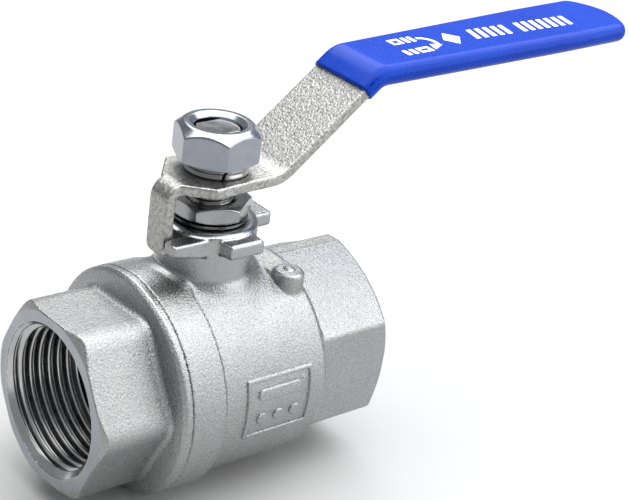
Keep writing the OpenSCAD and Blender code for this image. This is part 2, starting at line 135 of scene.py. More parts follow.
class Plan:
    """A polygon's distance kept in a table, for outlines with many corners."""

    def __init__(self, points, step=0.1, margin=3.0):
        p = np.array(points)
        self.low = p.min(0) - margin
        self.step = step
        n = np.ceil((p.max(0) + margin - self.low) / step).astype(int) + 1
        x = self.low[0] + step * np.arange(n[0])
        y = self.low[1] + step * np.arange(n[1])
        gx, gy = np.meshgrid(x, y, indexing="ij")
        self.table = polygon(gx, gy, points)
        self.n = n

    def __call__(self, x, y):
        u = (x - self.low[0]) / self.step
        v = (y - self.low[1]) / self.step
        cu = np.clip(u, 0, self.n[0] - 1.001)
        cv = np.clip(v, 0, self.n[1] - 1.001)
        i, j = cu.astype(int), cv.astype(int)
        a, b = cu - i, cv - j
        t = self.table
        d = (
            (t[i, j] * (1 - a) + t[i + 1, j] * a) * (1 - b)
            + (t[i, j + 1] * (1 - a) + t[i + 1, j + 1] * a) * b
        )
        return d + self.step * np.hypot(u - cu, v - cv)


# ---------------------------------------------------------------- distance field to mesh

EDGES = [(0, 1), (2, 3), (4, 5), (6, 7), (0, 2), (1, 3), (4, 6), (5, 7), (0, 4), (1, 5), (2, 6), (3, 7)]


def net(field, low, high, h):
    """Quad mesh of the field's zero surface, with its points moved onto it and the field's own normals."""
    block = 8
    low = np.array(low, float)
    count = np.ceil((np.array(high) - low) / h / block).astype(int) + 1
    centres = [low[i] + h * (block * np.arange(count[i]) + (block - 1) / 2) for i in range(3)]
    cx, cy, cz = np.meshgrid(*centres, indexing="ij")
    coarse = field(cx, cy, cz)
    near = np.argwhere(np.abs(coarse) < 8.5 * h)
    values = np.repeat(np.repeat(np.repeat(np.sign(coarse), block, 0), block, 1), block, 2).astype(np.float32)
    step = np.arange(block)
    for chunk in np.array_split(near, max(1, len(near) // 400)):
        at = chunk[:, None, :] * block
        ix = (at[:, :, 0] + step)[:, :, None, None]
        iy = (at[:, :, 1] + step)[:, None, :, None]
        iz = (at[:, :, 2] + step)[:, None, None, :]
        ix, iy, iz = np.broadcast_arrays(ix, iy, iz)
        values[ix, iy, iz] = field(low[0] + h * ix, low[1] + h * iy, low[2] + h * iz)
    inside = values < 0
    corners = [(i, j, k) for i in (0, 1) for j in (0, 1) for k in (0, 1)]
    n = np.array(values.shape) - 1
    total = np.zeros(n, np.int8)
    for i, j, k in corners:
        total += inside[i:i + n[0], j:j + n[1], k:k + n[2]]
    cells = np.argwhere((total > 0) & (total < 8))
    number = np.full(n, -1, np.int32)
    number[tuple(cells.T)] = np.arange(len(cells))
    v8 = np.stack([values[tuple((cells + c).T)] for c in corners], 1).astype(float)
    c8 = np.array(corners, float)
    total_point = np.zeros((len(cells), 3))
    hits = np.zeros(len(cells))
    for a, b in EDGES:
        fa, fb = v8[:, a], v8[:, b]
        mask = (fa < 0) != (fb < 0)
        t = np.where(mask, fa / np.where(mask, fa - fb, 1), 0)
        total_point += mask[:, None] * (c8[a] + t[:, None] * (c8[b] - c8[a]))
        hits += mask
    points = low + h * (cells + total_point / hits[:, None])
    quads = []
    for axis in range(3):
        u, w = [(1, 2), (2, 0), (0, 1)][axis]
        size = np.array(values.shape)
        size[axis] -= 1
        a = inside[tuple(slice(0, s) for s in size)]
        shifted = [slice(0, s) for s in size]
        shifted[axis] = slice(1, size[axis] + 1)
        b = inside[tuple(shifted)]
        at = np.argwhere(a != b)
        at = at[(at[:, u] > 0) & (at[:, w] > 0) & (at[:, u] < n[u]) & (at[:, w] < n[w])]
        flip = ~a[tuple(at.T)]
        ring = []
        for du, dw in ((-1, -1), (0, -1), (0, 0), (-1, 0)):
            c = at.copy()
            c[:, u] += du
            c[:, w] += dw
            ring.append(number[tuple(c.T)])
        ring = np.stack(ring, 1)
        ring[flip] = ring[flip][:, ::-1]
        quads.append(ring)
    quads = np.concatenate(quads)
    quads = quads[(quads >= 0).all(1)]
    for _ in range(3):
        value, gradient = slope(field, points, 0.02)
        move = gradient * (value / np.maximum((gradient ** 2).sum(1), 0.3))[:, None]
        length = np.linalg.norm(move, axis=1)
        move *= np.minimum(1, 0.6 * h / np.maximum(length, 1e-9))[:, None]
        points = points - move
    normals = slope(field, points, 0.35 * h)[1]
    normals /= np.maximum(np.linalg.norm(normals, axis=1), 1e-9)[:, None]
    return points, quads, normals


def slope(field, p, e):
    g = []
    for axis in range(3):
        d = np.zeros(3)
        d[axis] = e
        a, b = p + d, p - d
        g.append((field(a[:, 0], a[:, 1], a[:, 2]) - field(b[:, 0], b[:, 1], b[:, 2])) / (2 * e))
    return field(p[:, 0], p[:, 1], p[:, 2]), np.stack(g, 1)


def mesh_object(name, points, faces, normals=None, materials=(), index=None):
    me = bpy.data.meshes.new(name)
    pts = (np.asarray(points, float) + [SHIFT, 0, 0]) * MM
    me.from_pydata(pts.tolist(), [], [list(map(int, f)) for f in faces])
    me.validate()
    me.update()
    me.polygons.foreach_set("use_smooth", [True] * len(me.polygons))
    for m in materials:
        me.materials.append(m)
    if index is not None:
        me.polygons.foreach_set("material_index", np.asarray(index, np.int32))
    if normals is not None:
        me.normals_split_custom_set_from_vertices(np.asarray(normals).tolist())
    o = bpy.data.objects.new(name, me)
    scene.collection.objects.link(o)
    return o


def piece(o, body, slot, *nodes):
    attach(o, body)
    if nodes:
        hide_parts(*nodes)
    return o


def solid(name, field, low, high, h, materials, pick=None):
    """Mesh of a field; pick(centres, normals) gives each face's material number."""
    points, quads, normals = net(field, low, high, h)
    index = None
    if pick:
        index = pick(points[quads].mean(1), normals[quads].mean(1))
    return mesh_object(name, points, quads, normals, materials, index)


# ---------------------------------------------------------------- materials

class Nodes:
    def __init__(self, name):
        self.mat = bpy.data.materials.new(name)
        self.mat.use_nodes = True
        self.tree = self.mat.node_tree
        self.bsdf = self.tree.nodes["Principled BSDF"]
        self.coords = self.tree.nodes.new("ShaderNodeTexCoord").outputs["Object"]

    def node(self, kind, **inputs):
        n = self.tree.nodes.new(kind)
        for k, v in inputs.items():
            self.put(n, k.replace("_", " "), v)
        return n

    def put(self, n, socket, v):
        s = n.inputs[socket]
        if isinstance(v, bpy.types.NodeSocket):
            self.tree.links.new(v, s)
        else:
            s.default_value = v

    def noise(self, scale, detail=2.0, rough=0.5, coords=None):
        n = self.node("ShaderNodeTexNoise", Scale=scale, Detail=detail, Roughness=rough)
        self.tree.links.new(coords or self.coords, n.inputs["Vector"])
        return n.outputs["Fac"]

    def cells(self, scale):
        n = self.node("ShaderNodeTexVoronoi", Scale=scale)
        n.feature = "SMOOTH_F1"
        self.tree.links.new(self.coords, n.inputs["Vector"])
        return n.outputs["Distance"]

    def math(self, op, a, b=0.0):
        n = self.tree.nodes.new("ShaderNodeMath")
        n.operation = op
        for i, v in enumerate((a, b)):
            if isinstance(v, bpy.types.NodeSocket):
                self.tree.links.new(v, n.inputs[i])
            else:
                n.inputs[i].default_value = v
        return n.outputs[0]

    def height(self):
        n = self.tree.nodes.new("ShaderNodeSeparateXYZ")
        self.tree.links.new(self.coords, n.inputs[0])
        return n.outputs["Z"]

    def ramp(self, fac, stops):
        n = self.tree.nodes.new("ShaderNodeValToRGB")
        self.tree.links.new(fac, n.inputs["Fac"])
        e = n.color_ramp.elements
        while len(e) < len(stops):
            e.new(0.5)
        for i, (at, colour) in enumerate(stops):
            e[i].position = at
            e[i].color = (*colour, 1) if len(colour) == 3 else colour
        return n.outputs["Color"]

    def span(self, fac, lo, hi, to_lo, to_hi):
        n = self.tree.nodes.new("ShaderNodeMapRange")
        self.tree.links.new(fac, n.inputs["Value"])
        for k, v in (("From Min", lo), ("From Max", hi), ("To Min", to_lo), ("To Max", to_hi)):
            n.inputs[k].default_value = v
        return n.outputs["Result"]

    def bump(self, height, distance, strength=1.0, under=None):
        n = self.node("ShaderNodeBump", Strength=strength, Distance=distance, Height=height)
        if under is not None:
            self.tree.links.new(under, n.inputs["Normal"])
        return n.outputs["Normal"]

    def stretch(self, x, y, z):
        n = self.tree.nodes.new("ShaderNodeMapping")
        self.tree.links.new(self.coords, n.inputs["Vector"])
        n.inputs["Scale"].default_value = (x, y, z)
        return n.outputs["Vector"]

    def set(self, **inputs):
        for k, v in inputs.items():
            self.put(self.bsdf, k.replace("_", " "), v)
        return self.mat


def cast_metal():
    m = Nodes("cast_stainless")
    grain = m.noise(2300, 3.0, 0.65)
    pits = m.cells(1700)
    waves = m.noise(260, 3.0, 0.55)
    tone = m.noise(90, 4.0, 0.6)
    speckle = m.noise(2600, 1.0, 0.5)
    mixed = m.math("ADD", m.math("MULTIPLY", grain, 1.0), m.math("MULTIPLY", pits, 0.2))
    low = m.bump(waves, 0.00016, 0.5)
    normal = m.bump(mixed, 0.00022, m.span(m.height(), 0.0215, 0.0265, 0.95, 0.3), low)
    shade = m.math("ADD", m.math("MULTIPLY", tone, 0.3), m.math("MULTIPLY", speckle, 0.7))
    colour = m.ramp(
        shade,
        [(0.3, (0.31, 0.312, 0.317)), (0.5, (0.355, 0.356, 0.358)), (0.7, (0.40, 0.399, 0.396))]
    )
    rough = m.span(speckle, 0.3, 0.7, 0.24, 0.34)
    return m.set(Base_Color=colour, Metallic=1.0, Roughness=rough, Normal=normal)


def machined_metal():
    m = Nodes("turned_stainless")
    rings = m.noise(900, 2.0, 0.6, m.stretch(2.2, 1.0, 1.0))
    tone = m.noise(120, 3.0, 0.55)
    colour = m.ramp(tone, [(0.3, (0.30, 0.31, 0.335)), (0.7, (0.37, 0.38, 0.405))])
    rough = m.span(rings, 0.3, 0.7, 0.20, 0.30)
    return m.set(Base_Color=colour, Metallic=1.0, Roughness=rough, Normal=m.bump(rings, 0.00001, 0.35))


def thread_metal():
    m = Nodes("cut_thread")
    fine = m.noise(1800, 2.0, 0.6, m.stretch(3.0, 1.0, 1.0))
    tone = m.noise(150, 3.0, 0.55)
    colour = m.ramp(tone, [(0.3, (0.42, 0.42, 0.425)), (0.7, (0.54, 0.54, 0.54))])
    rough = m.span(fine, 0.3, 0.7, 0.14, 0.24)
    return m.set(Base_Color=colour, Metallic=1.0, Roughness=rough, Normal=m.bump(fine, 0.000008, 0.4))


def sheet_metal():
    m = Nodes("tumbled_sheet")
    grain = m.noise(2600, 3.0, 0.7)
    pits = m.cells(1900)
    broad = m.noise(420, 3.0, 0.6)
    tone = m.noise(1500, 2.0, 0.6)
    mixed = m.math("ADD", m.math("MULTIPLY", grain, 0.7), m.math("MULTIPLY", pits, 0.6))
    normal = m.bump(
        mixed, 0.00024, m.span(m.height(), 0.0478, 0.052, 0.35, 0.95), m.bump(broad, 0.00005, 0.4)
    )
    colour = m.ramp(
        tone,
        [(0.32, (0.24, 0.238, 0.232)), (0.5, (0.36, 0.358, 0.35)), (0.7, (0.50, 0.497, 0.487))]
    )
    rough = m.span(tone, 0.3, 0.7, 0.30, 0.44)
    return m.set(Base_Color=colour, Metallic=1.0, Roughness=rough, Normal=normal)


def zinc_plate():
    m = Nodes("bright_zinc")
    tone = m.noise(240, 3.0, 0.55)
    fine = m.noise(2200, 2.0, 0.5)
    colour = m.ramp(tone, [(0.3, (0.26, 0.275, 0.312)), (0.7, (0.32, 0.335, 0.372))])
    rough = m.span(tone, 0.3, 0.7, 0.16, 0.26)
    return m.set(Base_Color=colour, Metallic=1.0, Roughness=rough, Normal=m.bump(fine, 0.00001, 0.3))


def bright_steel(name="bright_steel", shade=1.0, lo=0.16, hi=0.26):
    m = Nodes(name)
    tone = m.noise(300, 3.0, 0.55)
    fine = m.noise(2500, 2.0, 0.5)
    a, b = 0.28 * shade, 0.36 * shade
    colour = m.ramp(tone, [(0.3, (a, a, a * 1.01)), (0.7, (b, b, b * 1.01))])
    rough = m.span(tone, 0.3, 0.7, lo, hi)
    return m.set(Base_Color=colour, Metallic=1.0, Roughness=rough, Normal=m.bump(fine, 0.000012, 0.35))


def plain_white_polymer():
    m = Nodes("white_seal")
    tone = m.noise(300, 3.0, 0.5)
    colour = m.ramp(tone, [(0.3, (0.80, 0.80, 0.77)), (0.7, (0.86, 0.86, 0.84))])
    return m.set(
        Base_Color=colour, Roughness=m.span(tone, 0.3, 0.7, 0.35, 0.5),
        Normal=m.bump(tone, 0.00002, 0.3)
    )


def blue_vinyl():
    m = Nodes("blue_vinyl")
    tone = m.noise(60, 3.0, 0.5)
    fine = m.noise(1500, 2.0, 0.5)
    broad = m.noise(130, 2.0, 0.5)
    colour = m.ramp(tone, [(0.3, (0.001, 0.032, 0.33)), (0.7, (0.001, 0.041, 0.39))])
    rough = m.span(fine, 0.3, 0.7, 0.22, 0.30)
    normal = m.bump(fine, 0.000012, 0.3, m.bump(broad, 0.00025, 0.35))
    return m.set(Base_Color=colour, Roughness=rough, Normal=normal, Specular_IOR_Level=0.12)


def white_ink():
    m = Nodes("white_print")
    fine = m.noise(1400, 3.0, 0.6)
    colour = m.ramp(fine, [(0.28, (0.62, 0.68, 0.86)), (0.42, (0.86, 0.87, 0.90)), (0.7, (0.93, 0.93, 0.94))])
    return m.set(
        Base_Color=colour, Roughness=m.span(fine, 0.3, 0.7, 0.4, 0.55),
        Normal=m.bump(fine, 0.00002, 0.4)
    )


CAST, TURNED, THREAD, SHEET, ZINC = (
    cast_metal(), machined_metal(), thread_metal(), sheet_metal(), zinc_plate()
)
BRIGHT = bright_steel()
DARK = bright_steel("spring_steel", 0.62, 0.22, 0.34)
PTFE, VINYL, INK = plain_white_polymer(), blue_vinyl(), white_ink()


# ---------------------------------------------------------------- body

INLET, OUTLET, SEAM = -37.0, 39.7, -17.55
THREAD_R, ROOT_R, MOUTH_R = 15.15, 16.55, 17.0


def lugs(x, y, z):
    gusset = meet(
        polygon(x, z, [(-14.9, 35.0), (-14.9, 32.6), (-8, 31), (-4, 31), (-4, 35.0)]), slab(
            y, -9.05, -5.15
        ), 0.6
    )
    near = meet(
        polygon(x, y, [(-3.5, -13.5), (4.9, -13.5), (5.6, -7), (-4.9, -7)]), slab(z, 31.45, 34.85), 0.85
    )
    outlet = rounded_box(x, y, z, (4, -2.9, 31.6), (15.2, 5.7, 35.0), 0.8)
    closed = rounded_box(x, y, z, (1.2, 4, 31.6), (5.6, 14.9, 35.0), 0.6)
    return np.minimum(np.minimum(gusset, near), np.minimum(outlet, closed))


def boss(x, y, z):
    """Round post with a domed tip, on a level pad that runs into the barrel's crown."""
    r = np.hypot(x - 15.6, y + 10.3)
    post = meet(r - 3.5, z - 24.3, 1.15)
    dome = np.sqrt((x - 15.6) ** 2 + (y + 10.3) ** 2 + (z - 23.2) ** 2) - 1.75
    pad = meet(slab(x, 12.3, 18.9), slab(y, -10.3, 1.0), 0.0)
    pad = meet(pad, z - 23.4, 0.45)
    return join(join(post, pad, 0.35), dome, 0.1)


def body_field(x, y, z):
    r = np.hypot(y, z)
    collar = meet(meet(r - 25.2, SEAM - x, 0.18), x + 9.1, 0.45)
    barrel = meet(r - 23.85, slab(x, SEAM, 20.0), 0.0)
    nose = (x - 18.2) * 0.667 + (r - 23.85) * 0.745
    barrel = meet(barrel, nose, 0.35)
    crown = meet(slab(y, -1.9, 2.6), z - 22.8, 0.3)
    flats = np.minimum(hexagon(y, z - 0.5, 39.3, 3.5, 0.55), np.maximum(crown, 15 - z))
    flats = meet(flats, r - 23.0, 0.4)
    flats = meet(flats, slab(x, 12.0, OUTLET), 0.25)
    flats = meet(flats, (x - 37.5) * 0.8466 + (r - 23.0) * 0.5322, 0.3)
    shell = cut(join(collar, barrel, 0.15), np.hypot(x + 8.75, r - 23.85) - 0.4, 0.15)
    shell = join(shell, flats, 0.45)
    neck_r = np.hypot(x, y)
    neck = meet(neck_r - 10.7, z - 35.87, 0.1)
    neck = meet(neck, (neck_r - 9.6) * 0.5 + (z - 35.87) * 0.866, 0.2)
    neck = np.maximum(neck, 10 - z)
    flare = np.maximum((neck_r - 10.7) * 0.8805 + (z - 25) * 0.4741, 10 - z)
    outside = join(join(shell, flare, 1.8), neck, 0.25)
    outside = join(outside, np.maximum(boss(x, y, z), 12 - z), 0.5)
    outside = join(outside, lugs(x, y, z), 0.45)
    bore = np.maximum(r - 21.03, x + 9.3)
    bore = np.minimum(bore, np.maximum(r - 22.8, x - SEAM - 1.2))
    bore = np.minimum(bore, np.maximum(r - 18.8, slab(x, -11, 11.6)))
    bore = np.minimum(bore, np.maximum(r - 17.6, slab(x, 10, 16.6)))
    bore = np.minimum(bore, np.maximum(r - 12.5, slab(x, 15, 26)))
    bore = np.minimum(bore, np.maximum(r - 16.8, x * -1 + OUTLET - 17.45))
    shaft = np.minimum(np.maximum(neck_r - 5.56, slab(z, 0, 40)), np.maximum(neck_r - 7.6, slab(z, 24.6, 45)))
    shaft = np.minimum(shaft, np.maximum(neck_r - 8.3, slab(z, 0, 21.9)))
    return cut(cut(outside, bore, 0.0), shaft, 0.0)


def body_pick(c, n):
    r = np.hypot(c[:, 1], c[:, 2])
    face = (c[:, 0] > OUTLET - 0.3) | ((r < 17.2) & (c[:, 0] > 10))
    rim = (c[:, 2] > 35.15) & (np.hypot(c[:, 0], c[:, 1]) < 11.2)
    inner = (r < 19.2) & (c[:, 2] < 19) & (np.abs(c[:, 0]) < 18)
    return (face | rim | inner).astype(np.int32)


body = solid("body_cast", body_field, (-18.5, -26.5, -26.5), (41, 26.5, 37), 0.45, [CAST, TURNED], body_pick)
piece(body, "shell", "cast_body", "body")


# ---------------------------------------------------------------- end cap

def cap_field(x, y, z):
    r = np.hypot(y, z)
    flats = meet(hexagon(y, z, 38.2, 28, 1.2), r - 21.5, 0.9)
    flats = meet(flats, slab(x, INLET, -15), 0.22)
    flats = meet(flats, (r - 19.3) * 0.509 - (x - INLET) * 0.861, 0.25)
    flange = polygon(
        x, r,
        [(-20.9, 10.0), (-20.9, 19.1), (-20.0, 24.5), (-19.0, 25.2), (SEAM, 25.2), (SEAM, 10.0)]
    )
    flange = meet(flange, r - 25.2, 0.3)
    flange = meet(flange, (r - 24.5) * 0.5 - (x + 20.0) * 0.866, 0.7)
    flange = meet(flange, x - SEAM, 0.18)
    outside = join(flats, flange, 1.1)
    outside = np.minimum(outside, np.maximum(r - 21.0, slab(x, -18.5, -9.6)))
    bore = np.maximum(r - 16.8, x - INLET - 17.45)
    bore = np.minimum(bore, np.maximum(r - 12.5, slab(x, -23, -15)))
    bore = np.minimum(bore, np.maximum(r - 17.6, -16.6 - x))
    return cut(outside, bore, 0.12)


def cap_pick(c, n):
    r = np.hypot(c[:, 1], c[:, 2])
    return ((c[:, 0] < INLET + 0.15) | (r < 18.4) | (c[:, 0] > SEAM + 0.3)).astype(np.int32)


cap = solid(
    "end_cap_cast", cap_field, (-38, -26.5, -26.5), (-8.5, 26.5, 26.5), 0.33, [CAST, TURNED],
    cap_pick
)
piece(cap, "shell", "cast_body", "end_cap")


# ---------------------------------------------------------------- pipe threads

def pipe_thread(name, face, side, phase):
    """Female thread as a closed ring: helical inside, plain outside, sunk in the port's wall."""
    pitch, turns, length = 2.309, 176, 17.45
    n = 150
    t = np.linspace(0, length, n)
    a = np.linspace(0, 2 * math.pi, turns, endpoint=False)
    depth, angle = np.meshgrid(t, a, indexing="ij")
    u = ((depth - phase) / pitch - side * angle / (2 * math.pi)) % 1.0
    saw = np.abs(u - 0.5) * 2
    crest = np.clip((saw - 0.5) * 1.28 + 0.5, 0, 1)
    soft = crest * crest * (3 - 2 * crest) * 0.45 + crest * 0.55
    r = ROOT_R - (ROOT_R - THREAD_R) * soft
    fade = np.clip((depth - length + 1.2) / 1.2, 0, 1)
    r = r * (1 - fade) + THREAD_R * fade
    r = np.maximum(r, MOUTH_R - depth)
    x = face - side * depth
    inner = np.stack([x, r * np.cos(angle), r * np.sin(angle)], -1)
    rows = [inner[i] for i in range(n)]
    for radius, at in ((14.0, length), (17.15, length), (17.15, 0.02)):
        rows.append(np.stack([np.full(turns, face - side * at), radius * np.cos(a), radius * np.sin(a)], -1))
    points = np.concatenate(rows)
    total = len(rows)
    faces = []
    for i in range(total):
        j = (i + 1) % total
        for k in range(turns):
            m = (k + 1) % turns
            f = (i * turns + k, j * turns + k, j * turns + m, i * turns + m)
            faces.append(f if side > 0 else f[::-1])
    o = mesh_object(name, points, faces, None, [THREAD])
    sharp = o.data.attributes.new("sharp_edge", "BOOLEAN", "EDGE")
    edge = np.zeros(len(o.data.edges) * 2, np.int32)
    o.data.edges.foreach_get("vertices", edge)
    row = edge.reshape(-1, 2) // turns
    sharp.data.foreach_set(
        "value",
        (row[:, 0] == row[:, 1]) & (row[:, 0] >= n - 1) | (row[:, 0] == 0) & (row[:, 1] == 0),
    )
    return piece(o, "shell", "cast_body")


pipe_thread("inlet_thread_cut", INLET, -1, 2.9)
pipe_thread("outlet_thread_cut", OUTLET, 1, 2.9)


# ---------------------------------------------------------------- raised marks on the barrel

def block(x, z, x0, x1, z0, z1, r=0.25):
    qx = np.abs(x - (x0 + x1) / 2) - (x1 - x0) / 2 + r
    qz = np.abs(z - (z0 + z1) / 2) - (z1 - z0) / 2 + r
    return np.hypot(np.maximum(qx, 0), np.maximum(qz, 0)) + np.minimum(np.maximum(qx, qz), 0) - r


def marks_field(x, y, z):
    r = np.hypot(y, z)
    d = np.maximum(block(x, z, -2.9, 14.8, -6.6, 7.7, 0.6), -block(x, z, -1.9, 13.8, -5.6, 6.7, 0.4))
    d = np.minimum(d, block(x, z, 0.1, 11.9, 2.2, 5.0, 1.35))
    for middle in (1.6, 6.0, 10.4):
        d = np.minimum(d, np.hypot(x - middle, z + 2.1) - 1.5)
    return np.maximum(meet(meet(d, r - 24.3, 0.4), 23.5 - r, 0.0), y)


marks = solid("raised_marks", marks_field, (-3.6, -25.2, -7.4), (15.6, -21.4, 8.4), 0.15, [CAST])
piece(marks, "shell", "cast_body")


# ---------------------------------------------------------------- nuts, washers, stem

def nut_field(z0, h, across, bore, face_r, turn, top_slope, bottom_slope, r):
    corner = across / 2 / math.cos(rad(30))
    top = math.atan(top_slope)
    low = math.atan(bottom_slope)

    def field(x, y, z):
        rr = np.hypot(x, y)
        d = hexagon(x, y, across, turn + 30, r)
        d = meet(d, slab(z, z0, z0 + h), r)
        d = meet(d, (z - z0 - h) * math.cos(top) + (rr - face_r) * math.sin(top), r)
        d = meet(d, (z0 - z) * math.cos(low) + (rr - face_r) * math.sin(low), r)
        d = cut(d, rr - bore, 0.0)
        return cut(d, (rr - bore - 1.0) * 0.7 - (z - z0 - h + 0.05) * 0.714, 0.1)

    return field, corner


def nut(
    name, node, material, slot, body_name, z0, h, across, bore, face_r, turn, top_slope,
    bottom_slope, r, step
):
    field, corner = nut_field(z0, h, across, bore, face_r, turn, top_slope, bottom_slope, r)
    o = solid(
        name, field, (-corner - 1, -corner - 1, z0 - 1), (corner + 1, corner + 1, z0 + h + 1), step,
        [material]
    )
    return piece(o, body_name, slot, node)


nut(
    "handle_nut_zinc", "handle_nut", ZINC, "zinc", "handle", 49.0, 8.1, 16.6, 5.0, 7.3, 8, 0.85,
    0.3, 0.22, 0.17
)
nut(
    "gland_nut_steel", "gland_nut", BRIGHT, "steel", "handle", 37.02, 3.7, 16.0, 5.0, 7.9, -24,
    0.58, 0.58, 0.2, 0.17
)


def stem_field(x, y, z):
    r = np.hypot(x, y)
    turn = (z / 1.25 - np.arctan2(y, x) / (2 * math.pi)) % 1.0
    groove = np.abs(turn - 0.5) * 2
    thread = np.maximum((r - 4.95 + 0.5 * groove) * 0.8, slab(z, 34.4, 55.9))
    thread = meet(thread, (z - 55.9) * 0.707 + (r - 4.6) * 0.707, 0.15)
    thread = np.maximum(thread, np.where(z > 44.4, np.abs(y) - 3.6, -9))
    shank = np.maximum(r - 5.5, slab(z, 20.9, 34.5))
    collar = meet(r - 8.0, slab(z, 18.5, 20.9), 0.2)
    tang = rounded_box(x, y, z, (-3.95, -6.5, 14.25), (3.95, 6.5, 19.2), 0.3)
    tang = np.maximum(tang, r - 7.8)
    return np.minimum(np.minimum(thread, shank), np.minimum(collar, tang))


stem = solid("stem_turned", stem_field, (-9, -9, 13), (9, 9, 57), 0.22, [BRIGHT])
piece(stem, "handle", "steel", "stem")


def washer_field(x, y, z):
    u, v = x - 0.3, y + 0.3
    r = np.hypot(u, v)
    a = (np.degrees(np.arctan2(v, u)) + 109 + 180) % 360 - 180
    rise = a / 360 * 0.16
    hollow = 0.3 * np.exp(-((z - 47.9 - rise) / 0.4) ** 2)
    d = meet(meet(r - 7.1 + hollow, 5.45 - r, 0.0), slab(z, 46.92 + rise, 48.88 + rise), 0.25)
    c, s = math.cos(rad(-109)), math.sin(rad(-109))
    across = np.abs(y * c - x * s - (z - 47.9) * 0.35) * 0.94 - 0.33
    gap = np.maximum(across, -(x * c + y * s))
    return cut(d, gap, 0.1)


washer = solid("spring_washer", washer_field, (-8, -8.5, 46), (8.5, 8, 49.8), 0.15, [BRIGHT])
piece(washer, "handle", "steel", "lock_washer")


# ---------------------------------------------------------------- lever and sleeve

LEVER_Y = -0.6
RAMP, GRIP = 38.8, 1.7
RAMP_X, GRIP_X = 11.36, 35.7
TOP, T = 46.8, 2.4
CORNER_Z = TOP + (GRIP_X - RAMP_X) * math.tan(rad(RAMP))
LOW_CUT = 6.5 * math.tan(rad(RAMP / 2))
HIGH_CUT = (5.0 + T) * math.tan(rad((RAMP - GRIP) / 2))
GRIP_LEN = 81.0


def centre_line():
    """Middle of the lever's sheet in X and Z, from the tab's foot to the grip's end."""
    line = [(-13.8, 28.0), (-13.8, 42.8)]
    for a in np.linspace(180, 90, 13)[1:]:
        line.append((-11.0 + 2.8 * math.cos(rad(a)), 42.8 + 2.8 * math.sin(rad(a))))
    cx, cz = RAMP_X - LOW_CUT, TOP + 6.5
    for a in np.linspace(-90, -90 + RAMP, 11):
        line.append((cx + 7.7 * math.cos(rad(a)), cz + 7.7 * math.sin(rad(a))))
    g = rad(GRIP)
    hx, hz = HIGH_CUT, -5.0 - T
    cx = GRIP_X + hx * math.cos(g) - hz * math.sin(g)
    cz = CORNER_Z + hx * math.sin(g) + hz * math.cos(g)
    for a in np.linspace(90 + RAMP, 90 + GRIP, 13):
        line.append((cx + 6.2 * math.cos(rad(a)), cz + 6.2 * math.sin(rad(a))))
    start = len(line) - 1
    far = GRIP_LEN + 4
    line.append(
        (GRIP_X + far * math.cos(g) + 1.2 * math.sin(g), CORNER_Z + far * math.sin(g) - 1.2 * math.cos(g))
    )
    return line, start


LINE, BEND_END = centre_line()
LENGTHS = np.concatenate([[0], np.cumsum([math.dist(LINE[i], LINE[i + 1]) for i in range(len(LINE) - 1)])])
S_GRIP = LENGTHS[BEND_END] - HIGH_CUT


def along(x, z):
    """Distance from the sheet's middle, and length along it."""
    best = np.full(x.shape, 1e9)
    where = np.zeros(x.shape)
    for i in range(len(LINE) - 1):
        ax, az = LINE[i]
        bx, bz = LINE[i + 1]
        ex, ez = bx - ax, bz - az
        q = ex * ex + ez * ez
        t = np.clip(((x - ax) * ex + (z - az) * ez) / q, 0, 1)
        d = (x - ax - t * ex) ** 2 + (z - az - t * ez) ** 2
        closer = d < best
        best = np.where(closer, d, best)
        where = np.where(closer, LENGTHS[i] + t * math.sqrt(q), where)
    return np.sqrt(best), where


SHAPE = Plan(fillet(
    [
        (-20, -5.0), (-11.9, -5.0), (-6.2, -10.0), (4, -9.2), (12, -9.0), (34.5, -9.0), (36, -8.2),
        (108, -8.2), (114, -4.6), (122, -4.6), (122, 3.4), (114, 3.4), (108, 7.0),
        (36, 7.0), (34.5, 7.8), (12, 7.8), (4, 8.0), (-6.2, 8.8), (-11.9, 2.05), (-12.2, 1.05), (-20, 1.05)
    ],
    [0, 0.4, 0.25, 3, 3, 0.3, 0.3, 1, 1, 0, 0, 1, 1, 0.3, 0.3, 3, 3, 0.8, 0.3, 0.3, 0]
))


def strip(x, y, z, grow):
    n, s = along(x, z)
    d = meet(n - T / 2 - grow, SHAPE(x, y) - grow, 0.35)
    return d, s


def lever_field(x, y, z):
    d, s = strip(x, y, z, 0.0)
    foot = np.where(z < 36, meet(31.0 - z, y - 1.05, 1.8), 31.0 - z)
    foot = meet(foot, np.where(z < 36, -5.0 - y, -9.0), 0.7)
    d = meet(d, foot, 0.3)
    d = meet(d, s - S_GRIP - (GRIP_LEN - 1.75), 0.3)
    hole = np.maximum(np.maximum(np.hypot(x, y) - 5.05, np.abs(y) - 3.7), slab(z, 43, 48))
    return cut(d, hole, 0.1)


lever = solid("lever_strip", lever_field, (-16.5, -12, 30), (118, 11, 72), 0.4, [SHEET])
piece(lever, "handle", "steel", "lever")


def grip_outline():
    """Middle of the sleeve's round edge seen from above: length along the strip, and width."""
    h = T / 2 + 1.15
    w0, w1 = 9.2 - h, 10.7 - h
    start = -4.6
    far = GRIP_LEN - h
    side = [(start - 3, w0), (start + 4, w0), (far - 22, w1)]
    end = []
    deep, power = 3.6, 1.6
    for a in np.linspace(0, 90, 17):
        c, s = math.cos(rad(a)), math.sin(rad(a))
        end.append((far - deep + deep * s ** (2 / power), w1 * c ** (2 / power)))
    upper = side + end
    lower = [(u, -v) for u, v in upper[::-1][1:]]
    return upper + lower


OUTLINE = Plan(grip_outline())


def sleeve_field(x, y, z):
    n, s = along(x, z)
    u = s - S_GRIP
    d = np.hypot(np.maximum(OUTLINE(u, y - LEVER_Y), 0), n) - T / 2 - 1.15
    d = meet(d, -4.6 - u, 0.5)
    inner = np.maximum(strip(x, y, z, 0.05)[0], u - GRIP_LEN + 1.6)
    return cut(d, inner, 0.0)


